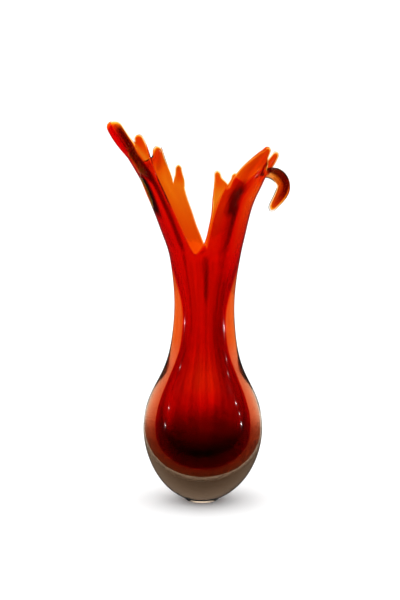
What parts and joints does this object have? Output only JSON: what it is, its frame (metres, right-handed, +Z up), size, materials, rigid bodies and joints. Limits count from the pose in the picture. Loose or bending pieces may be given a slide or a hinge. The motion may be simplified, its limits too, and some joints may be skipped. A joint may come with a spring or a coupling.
{
  "type": "glass vase",
  "caption": "Tall hand blown glass vase with a heavy bulb, a narrow neck and a mouth split into two wings that are pulled out into curling fingers.",
  "frame": {"origin": "middle of the ground foot, on the surface that the vase stands on", "axes": "+Z up along the vase, +X to the right towards the hooked finger, +Y to the rear"},
  "size_m": [0.1903, 0.127, 0.4023],
  "materials": {
    "clear_glass": "clear fire polished glass",
    "smoky_glass": "grey smoky glass, ground at the foot",
    "amber_glass": "clear amber glass",
    "ruby_glass": "deep ruby glass",
    "orange_glass": "fire polished orange glass"
  },
  "bodies": {
    "root": {"base_gather": "smoky_glass", "pontil_wad": "clear_glass", "bulb_casing": "clear_glass", "neck_casing": "clear_glass", "amber_casing": "amber_glass", "ruby_bulb": "ruby_glass", "ruby_neck": "ruby_glass", "left_wing_casing": "amber_glass", "left_wing_lining": "ruby_glass", "right_wing_casing": "amber_glass", "right_wing_lining": "ruby_glass", "finger_left_front": "orange_glass", "finger_left_long": "orange_glass", "finger_left_back": "orange_glass", "finger_left_rear": "orange_glass", "finger_right_front": "orange_glass", "finger_right_broad": "orange_glass", "finger_right_hook": "orange_glass", "finger_right_back": "orange_glass", "finger_right_rear": "orange_glass"}
  },
  "joints": []
}
